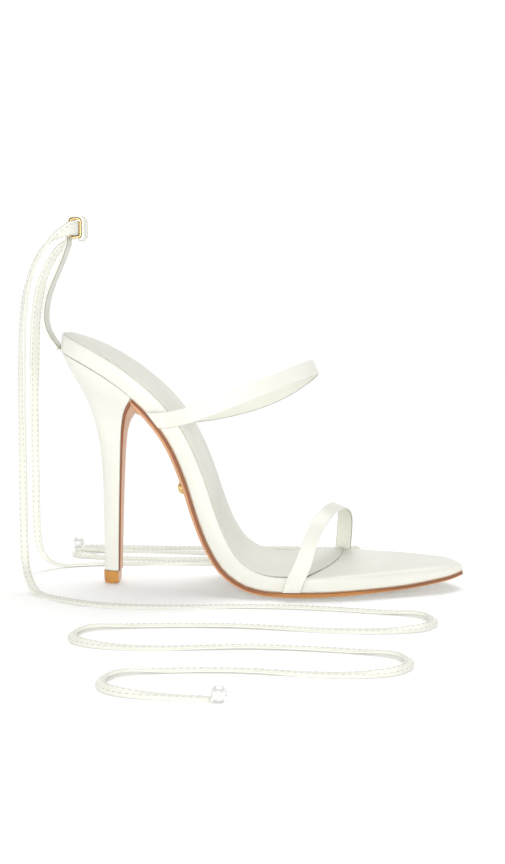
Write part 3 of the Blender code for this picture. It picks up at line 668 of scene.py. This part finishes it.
def strip_from_grid(name, strip):
    """Lays a grid along a strip's rings and closes it to a solid with an outer and an inner layer."""
    shares = np.concatenate((SECTION, SECTION[:1]))
    sideways = strip.across[:, None] * shares[None, :, :1] * strip.width[:, None, None] / 2
    outwards = strip.face[:, None] * shares[None, :, 1:] * strip.thickness[:, None, None]
    rings = strip.middle[:, None] + sideways + outwards
    spans = len(strip.middle) - 1
    bpy.ops.object.select_all(action="DESELECT")
    bpy.ops.mesh.primitive_grid_add(x_subdivisions=len(SECTION), y_subdivisions=spans, size=1.0)
    piece = bpy.context.object
    piece.name = name
    piece.data.vertices.foreach_set("co", place(rings).ravel())
    piece.data.polygons.foreach_set("material_index", np.tile(section_finishes(), spans))
    # The inner layer is the lining painted lighter than the ivory, as painted fill light.
    for finish in (ivory, strap_lining_painted_fill, lining):
        piece.data.materials.append(finish)
    open_faces(piece, lambda face: True)
    bpy.ops.mesh.remove_doubles(threshold=MERGE_DISTANCE)
    bpy.ops.mesh.fill_holes(sides=0)
    bpy.ops.mesh.select_all(action="SELECT")
    bpy.ops.mesh.normals_make_consistent(inside=False)
    close()
    smooth(piece, STRIP_SMOOTH_ANGLE)
    return piece


tie_near = strip_from_grid("tie_near_leather", near_strip)
tie_far = strip_from_grid("tie_far_leather", far_strip)
stand_for(tie_near, "tie_near")
stand_for(tie_far, "tie_far")

# %% [markdown]
# Stitches
#
# Both edges of the tie are sewn with short stitches, which read as rows of small dots. A bump could draw
# them, but they stand out at the strip's edge, so they are modelled. One stitch is a cube drawn out to a bar
# and bevelled, and its points and faces are kept as a pattern.

# %% One stitch
STITCH_LENGTH = 1.3
STITCH_WIDTH = 0.42
STITCH_HEIGHT = 0.4
STITCH_BEVEL = 0.3 * STITCH_WIDTH


def one_stitch():
    """Models a stitch at the origin, along x, and gives its points in millimetres and its faces."""
    bpy.ops.object.select_all(action="DESELECT")
    bpy.ops.mesh.primitive_cube_add(size=1.0)
    model = bpy.context.object
    open_faces(model, lambda face: True)
    bpy.ops.transform.resize(value=(STITCH_LENGTH, STITCH_WIDTH, STITCH_HEIGHT))
    bpy.ops.mesh.bevel(offset=STITCH_BEVEL, segments=1, affect="EDGES")
    close()
    points = np.array([vertex.co for vertex in model.data.vertices])
    faces = [tuple(face.vertices) for face in model.data.polygons]
    bpy.data.objects.remove(model)
    return points, faces


STITCH_POINTS, STITCH_FACES = one_stitch()
print(f"one stitch: {len(STITCH_POINTS)} points, {len(STITCH_FACES)} faces")

# %% [markdown]
# Rows of stitches
#
# The stitch is copied to every place along a row, turned with the strip, and the copies of a tie are kept as
# one piece. A separate object for each would be slow, and there are hundreds. The face that lies on the
# floor needs none.

# %% Stitches along both edges
STITCH_EVERY = 2.6
STITCH_INSET = 0.8
STITCH_PROUD = 0.06
HANG_LENGTH = 190.0


def sew(name, places):
    """Copies the stitch to each place, given as its middle, heading, width direction and face direction."""
    points = []
    faces = []
    for middle, heading, across, face in places:
        first = len(points) * len(STITCH_POINTS)
        points.append(middle + STITCH_POINTS @ np.stack((heading, across, face)))
        faces.extend(tuple(first + corner for corner in ring) for ring in STITCH_FACES)
    mesh = bpy.data.meshes.new(name)
    mesh.from_pydata(place(np.concatenate(points)), [], faces)
    piece = bpy.data.objects.new(name, mesh)
    bpy.context.scene.collection.objects.link(piece)
    mesh.materials.append(thread)
    open_faces(piece, lambda face: True)
    bpy.ops.mesh.normals_make_consistent(inside=False)
    close()
    smooth(piece)
    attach(piece, "root")
    return piece


def edge_stitches(strip):
    """Lists the places of a tie's stitches: two rows on its outer face, and two inside while it hangs."""
    along = lengths_along(strip.middle)
    places = []
    for at in np.arange(STITCH_EVERY, along[-1] - STITCH_EVERY, STITCH_EVERY):
        middle, heading, across, face = (
            np.array([np.interp(at, along, column) for column in values.T])
            for values in (strip.middle, strip.heading, strip.across, strip.face)
        )
        width = np.interp(at, along, strip.width)
        thickness = np.interp(at, along, strip.thickness)
        for facing in (1.0, -1.0):
            if facing < 0.0 and at > HANG_LENGTH:
                continue
            reach = facing * (thickness / 2 - STITCH_HEIGHT / 2 + STITCH_PROUD)
            for edge in (-1.0, 1.0):
                spot = middle + across * edge * (width / 2 - STITCH_INSET) + face * reach
                places.append((spot, unit(heading), unit(across), unit(face)))
    return places


stitches_near = sew("tie_near_stitches", edge_stitches(near_strip))
stitches_far = sew("tie_far_stitches", edge_stitches(far_strip))
print(f"stitches: {len(stitches_near.data.polygons)} and {len(stitches_far.data.polygons)} faces")

# %% [markdown]
# Beads
#
# Each tie ends in a small pearly ball with a hole for the lace. A sphere loses the faces round its poles,
# and bridging the two rims makes the hole. The first bead is modelled at the origin with its hole along z,
# then each copy is turned to its lace and put on its end.

# %% A drilled bead, twice
BEAD_RADIUS = 3.0
BEAD_HOLE = 0.36
BEAD_GAP = 0.3
BEAD_LIP = 0.12
BEAD_LIP_ANGLE = 45.0
BEAD_SMOOTH_ANGLE = 60.0
BEAD_SEGMENTS = 32
BEAD_RINGS = 24
LEVEL = np.array((1.0, 1.0, 0.0))


def model_bead():
    """Models one bead at the origin, its hole along z."""
    bpy.ops.object.select_all(action="DESELECT")
    bpy.ops.mesh.primitive_uv_sphere_add(
        segments=BEAD_SEGMENTS, ring_count=BEAD_RINGS, radius=BEAD_RADIUS * MM
    )
    bead = bpy.context.object
    rim = BEAD_RADIUS * MM * math.cos(math.asin(BEAD_HOLE))
    open_faces(bead, lambda face: abs(face.center.z) > rim)
    bpy.ops.mesh.delete(type="FACE")
    bpy.ops.mesh.select_mode(type="EDGE")
    bpy.ops.mesh.select_non_manifold()
    bpy.ops.mesh.bridge_edge_loops()
    bpy.ops.mesh.select_all(action="SELECT")
    bpy.ops.mesh.normals_make_consistent(inside=False)
    close()
    round_edges(bead, BEAD_LIP, segments=3, angle=BEAD_LIP_ANGLE)
    smooth(bead, BEAD_SMOOTH_ANGLE)
    bead.data.materials.append(pearl)
    return bead


def put_bead(bead, name, strip, node):
    """Copies the bead onto the end of a tie, with its hole along the lace."""
    heading = unit(strip.heading[-1] * LEVEL)
    middle = strip.middle[-1] + heading * (BEAD_RADIUS + BEAD_GAP)
    middle[2] = BEAD_RADIUS
    piece = bpy.data.objects.new(name, bead.data.copy())
    bpy.context.scene.collection.objects.link(piece)
    turned = Vector(heading).to_track_quat("Z", "Y").to_matrix().to_4x4()
    piece.data.transform(Matrix.Translation(place(middle)) @ turned)
    stand_for(piece, node)
    return piece


bead_model = model_bead()
bead_near = put_bead(bead_model, "bead_near_pearl", near_strip, "bead_near")
bead_far = put_bead(bead_model, "bead_far_pearl", far_strip, "bead_far")
bpy.data.objects.remove(bead_model)

# %% [markdown]
# Declaring the ties
# The ties
# Each tie is a free cord that leaves the loop, with its stitches and its bead made as pieces of their own.


# %% [markdown]
# The footbed
#
# The footbed is an insole board wrapped in ivory leather. The imported solid has the true shape of the last,
# so a copy of it is enough: merged, and shaded smooth over its round rim, as leather drawn over a board.

# %% Footbed
RIM_SMOOTH_ANGLE = 50.0

footbed = own_copy("footbed", "footbed_cover")
smooth(footbed, RIM_SMOOTH_ANGLE)
footbed.data.materials.append(ivory)
stand_for(footbed, "footbed")

# %% [markdown]
# The sock
#
# The sock is a thin sheet of lining leather glued on the footbed from the heel to the ball. The packed
# solids stay a little apart, so the underside of the copy is pushed down to the footbed, and its top a
# little as well, because the leather is skived thin before it is glued. Its cut edge is darker than its
# face, so the faces that look sideways get a finish of their own.

# %% Sock
GLUE_REACH = 0.22
SOCK_SKIVE = 0.55
LOOKS_UP = Vector((0.5, 0.0, 0.85)).normalized()
EDGE_LEVEL = 0.3
SOCK_ROUND = 0.15

sock = own_copy("sock", "sock_lining")
open_faces(sock, lambda face: face.normal.dot(LOOKS_UP) < -EDGE_LEVEL)
bpy.ops.transform.shrink_fatten(value=GLUE_REACH * MM)
close()
open_faces(sock, lambda face: face.normal.dot(LOOKS_UP) > EDGE_LEVEL)
bpy.ops.transform.shrink_fatten(value=-SOCK_SKIVE * MM)
close()
sock.data.materials.append(lining)
sock.data.materials.append(cut_edge)
for face in sock.data.polygons:
    face.material_index = 1 if abs(face.normal.dot(LOOKS_UP)) < EDGE_LEVEL else 0
round_edges(sock, SOCK_ROUND)
smooth(sock)
stand_for(sock, "sock")

# %% [markdown]
# The outsole
#
# The outsole is one piece of sole leather that runs from the toe to the heel and turns down the heel's
# breast. Its upright edge is stained dark, with a dark line along the seam above it, and the bevel and the
# face are paler. The faces get one of these finishes by their normals: an upright edge looks to the side,
# and the seam's chamfer looks half up, where a short table says which way up is along the bent sole. The
# sole is kept from tinting the floor, as the photograph's shadow is a plain grey.

# %% Outsole
EDGE_SIDEWAYS = 0.85
FLAP_SIDEWAYS = 0.55
FLAP_END = place((40.0, 0.0, 0.0))[0]
TOE_WALL_START = place((150.0, 0.0, 0.0))[0]
TOE_WALL_TILT = 0.35
SOLE_ROUND = 0.12
UP_COLUMNS = ("x", "forwards", "up")
UP_ROWS = (
    (34.0, -1.0, 0.0), (38.0, 0.6, 0.8), (48.0, 0.76, 0.65), (60.0, 0.9, 0.43), (72.0, 0.92, 0.39),
    (80.0, 0.83, 0.55), (90.0, 0.65, 0.76), (100.0, 0.4, 0.92), (110.0, 0.1, 1.0), (140.0, -0.05, 1.0),
    (196.0, -0.15, 0.99),
)
SEAM_RANGE = (0.35, 0.93)
FACE, EDGE, SEAM = 0, 1, 2


def is_upright_edge(face):
    """Tells whether a face of the outsole belongs to its upright edge."""
    sideways = abs(face.normal.y)
    if face.center.x < FLAP_END:
        return sideways > FLAP_SIDEWAYS
    if face.center.x > TOE_WALL_START and abs(face.normal.z) < TOE_WALL_TILT:
        return True
    return sideways > EDGE_SIDEWAYS


def sole_part(face):
    """Tells whether an outsole face is in the seam, in the upright edge, or in the bevel and face."""
    forwards, up = read_rows(UP_ROWS, face.center.x / MM + SHOE_MIDDLE[0])
    facing_up = face.normal.x * forwards + face.normal.z * up
    if SEAM_RANGE[0] < facing_up < SEAM_RANGE[1]:
        return SEAM
    return EDGE if is_upright_edge(face) else FACE


outsole = own_copy("outsole", "outsole_leather")
outsole.data.materials.append(sole_face)
outsole.data.materials.append(sole_edge)
outsole.data.materials.append(sole_seam_line)
for face in outsole.data.polygons:
    face.material_index = sole_part(face)
round_edges(outsole, SOLE_ROUND)
smooth(outsole)
outsole.visible_diffuse = False
stand_for(outsole, "outsole")

# %% [markdown]
# The heel and its tip
#
# The heel block is covered in the same ivory leather. Its sections are far apart, so the copy is subdivided
# to a smooth flare, with creases that keep its rims and its breast edges sharp. Its top is pushed up to the
# footbed, so that the seam between them is a fine line.

# %% Heel and tip
SHARP_RIM = 50.0
HEEL_TOP = place((0.0, 0.0, 96.0))[2]
HEEL_TOP_FACING = 0.8
HEEL_LEVELS = 2


def subdivide_between_rims(item, levels):
    """Creases the edges sharper than the rim angle, then subdivides the piece smoothly."""
    open_faces(item, lambda face: False)
    bpy.ops.mesh.select_mode(type="EDGE")
    bpy.ops.mesh.edges_select_sharp(sharpness=math.radians(SHARP_RIM))
    bpy.ops.transform.edge_crease(value=1.0)
    close()
    apply(item, "SUBSURF", levels=levels, render_levels=levels)


heel = own_copy("heel", "heel_cover")
open_faces(heel, lambda face: face.center.z > HEEL_TOP and face.normal.dot(LOOKS_UP) > HEEL_TOP_FACING)
bpy.ops.transform.shrink_fatten(value=GLUE_REACH * MM)
close()
subdivide_between_rims(heel, HEEL_LEVELS)
smooth(heel)
heel.data.materials.append(ivory)
stand_for(heel, "heel")

top_piece = own_copy("top_piece", "heel_tip")
subdivide_between_rims(top_piece, HEEL_LEVELS)
smooth(top_piece)
top_piece.data.materials.append(amber)
stand_for(top_piece, "top_piece")

# %% [markdown]
# The straps
#
# The toe strap and the instep strap are ivory leather folded round their edges and glued to a lining. A
# fine dark line runs along the chamfer between each edge and the inside. A face gets its finish by what it
# looks at: the chamfer between the edge and the inside is the line, the inside is lining painted lighter
# than the ivory as painted fill light, and all else is ivory.

# %% Toe strap and instep strap
FLAT_FACING = 0.35
EDGE_FACING = 0.9
LEATHER, LINED, LINE = 0, 1, 2
TOE_STRAP_ACROSS = Vector((1.0, 0.0, -0.35)).normalized()
TOE_STRAP_MIDDLE = Vector(place((128.0, 1.0, 15.0)))
TOE_STRAP_PLANE = Vector((0.0, 1.0, 1.0))
INSTEP_STRAP_ACROSS = Vector((-0.4, 0.0, 0.92)).normalized()
INSTEP_STRAP_MIDDLE = Vector(place((80.0, 0.0, 92.0)))
INSTEP_STRAP_PLANE = Vector((1.0, 1.0, 0.0))


def layer_of(face, across, inwards):
    """Tells which layer a strap's face shows, from the strap's width direction and the way to its inside."""
    sideways = abs(face.normal.dot(across))
    if sideways > EDGE_FACING or face.normal.dot(inwards) < 0.0:
        return LEATHER
    return LINE if sideways > FLAT_FACING else LINED


def line_strap(strap, inner_finish, across, way_in):
    """Gives a strap's faces their finishes. way_in gives the way to the inside from a face's middle."""
    for finish in (ivory, inner_finish, strap_edge_line):
        strap.data.materials.append(finish)
    layers = [layer_of(face, across, way_in(face.center)) for face in strap.data.polygons]
    strap.data.polygons.foreach_set("material_index", layers)
    smooth(strap)
    print(f"{strap.name}: {layers.count(LINED)} lined faces, {layers.count(LINE)} in the line")


toe_strap = own_copy("toe_strap", "toe_strap_leather")
line_strap(
    toe_strap, strap_lining_painted_fill, TOE_STRAP_ACROSS,
    lambda spot: (TOE_STRAP_MIDDLE - spot) * TOE_STRAP_PLANE,
)
stand_for(toe_strap, "toe_strap")

instep_strap = own_copy("instep_strap", "instep_strap_leather")
line_strap(
    instep_strap, strap_lining_painted_fill, INSTEP_STRAP_ACROSS,
    lambda spot: (INSTEP_STRAP_MIDDLE - spot) * INSTEP_STRAP_PLANE,
)
stand_for(instep_strap, "instep_strap")

# %% [markdown]
# The back strap and its keeper
#
# The strap that stands up from the heel seat is folded over at its top, and a gold-tone sleeve lines the
# loop. The inside of the strap is the side towards the foot, and in the loop the side towards its middle.

# %% Back strap and keeper
BACK_STRAP_ACROSS = Vector((0.0, 1.0, 0.0))
LOOP_MIDDLE = Vector(place((LOOP_X, 0.0, LOOP_Z)))
LOOP_PLANE = Vector((1.0, 0.0, 1.0))
LOOP_START = place((0.0, 0.0, 168.0))[2]
FOOT_SIDE = Vector((1.0, 0.0, 0.0))
STRAP_FOOT = place((0.0, 0.0, 117.5))[2]
STRAP_END_WAY = Vector((0.6, 0.0, -0.8))
STRAP_END_FACING = 0.9
STRAP_TUCK = Vector((1.5, 0.0, -0.7)) * MM
KEEPER_ROUND = 0.15
KEEPER_RIM_ANGLE = 50.0


def is_strap_end(face):
    """Tells whether a face is the lower end of the back strap, which goes under the footbed's edge."""
    return face.center.z < STRAP_FOOT and face.normal.dot(STRAP_END_WAY) > STRAP_END_FACING


def way_into_back_strap(spot):
    """Gives the way to the lined side: to the foot on the rise, and to the middle of the loop above it."""
    if spot.z > LOOP_START:
        return (LOOP_MIDDLE - spot) * LOOP_PLANE
    return FOOT_SIDE


back_strap = own_copy("back_strap", "back_strap_leather")
open_faces(back_strap, is_strap_end)
bpy.ops.mesh.extrude_region_move(TRANSFORM_OT_translate={"value": STRAP_TUCK})
close()
line_strap(back_strap, lining, BACK_STRAP_ACROSS, way_into_back_strap)
stand_for(back_strap, "back_strap")

keeper = own_copy("keeper", "keeper_sleeve")
round_edges(keeper, KEEPER_ROUND, angle=KEEPER_RIM_ANGLE)
smooth(keeper)
keeper.data.materials.append(gold)
stand_for(keeper, "keeper")

# %% [markdown]
# The stud
#
# A small plain stud of gold-tone metal sits under the arch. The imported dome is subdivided, with its foot
# kept sharp.

# %% Stud
STUD_LEVELS = 1

stud = own_copy("arch_stud", "arch_stud_dome")
subdivide_between_rims(stud, STUD_LEVELS)
smooth(stud)
stud.data.materials.append(gold)
stand_for(stud, "arch_stud")

# %% [markdown]
# Floor and sky
#
# The photograph is high key: all is white but the shoe and a soft shadow under it. A pale floor with a
# faint glow takes the shadow and stays white elsewhere. A sky that is white at the horizon and dimmer
# overhead gives the even light from all sides. The floor isn't part of the shoe.

# %% Floor and sky
FLOOR_SIZE = 60.0
FLOOR_GLOW = 0.105
WHITE = (1.0, 1.0, 1.0, 1.0)
SKY_HORIZON = 1.25
SKY_OVERHEAD = 0.16
SKY_RISE = (0.2, 0.55)

bpy.ops.object.select_all(action="DESELECT")
bpy.ops.mesh.primitive_plane_add(size=FLOOR_SIZE)
floor = bpy.context.object
floor.name = "studio_floor"
floor_finish = solid_finish("floor_paper", (0.93, 0.93, 0.93), (0.92, 0.92, 0.92), 0.7, 0.0, 0.0, 3.0)
floor_shader = floor_finish.node_tree.nodes["Principled BSDF"]
feed(floor_shader, "Emission Color", WHITE)
feed(floor_shader, "Emission Strength", FLOOR_GLOW)
floor.data.materials.append(floor_finish)

sky = bpy.data.worlds.new("studio_sky")
sky.use_nodes = True
background = sky.node_tree.nodes["Background"]
direction = Signal(sky.node_tree.nodes.new("ShaderNodeTexCoord").outputs["Generated"])
height = direction.node("ShaderNodeSeparateXYZ", {}, {0: direction}, "Z")
feed(background, "Color", WHITE)
feed(background, "Strength", SKY_HORIZON - height.between(*SKY_RISE) * (SKY_HORIZON - SKY_OVERHEAD))
bpy.context.scene.world = sky
print(f"floor {FLOOR_SIZE:.0f} m wide, sky from {SKY_HORIZON} down to {SKY_OVERHEAD}")

# %% [markdown]
# Lights
#
# A large soft light in front lifts the side that the camera sees, and a broad one from above, a little
# behind the shoe, makes the shadow. The light from above is a sun, because a lamp would leave the far floor
# grey, and its wide angle softens the shadow of the arch but leaves it dark where the sole meets the floor.
# The plain view transform keeps white white.

# %% Softbox and sun
FRONT_PLACE = (0.0, -1.6, 0.42)
FRONT_POWER = 13.2
FRONT_SIZE = 1.0
TOP_PLACE = (0.08, 0.45, 1.4)
TOP_STRENGTH = 2.1
TOP_SPREAD = 56.0


def add_light(name, kind, spot, strength):
    """Adds a light that looks at the shoe."""
    bpy.ops.object.light_add(type=kind, location=spot)
    light = bpy.context.object
    light.name = name
    light.data.energy = strength
    light.rotation_euler = Vector(spot).to_track_quat("Z", "Y").to_euler()
    return light


add_light("front_softbox", "AREA", FRONT_PLACE, FRONT_POWER).data.size = FRONT_SIZE
add_light("top_light", "SUN", TOP_PLACE, TOP_STRENGTH).data.angle = math.radians(TOP_SPREAD)
bpy.context.scene.view_settings.view_transform = "Standard"
print("lights: a softbox in front and a broad sun from above")
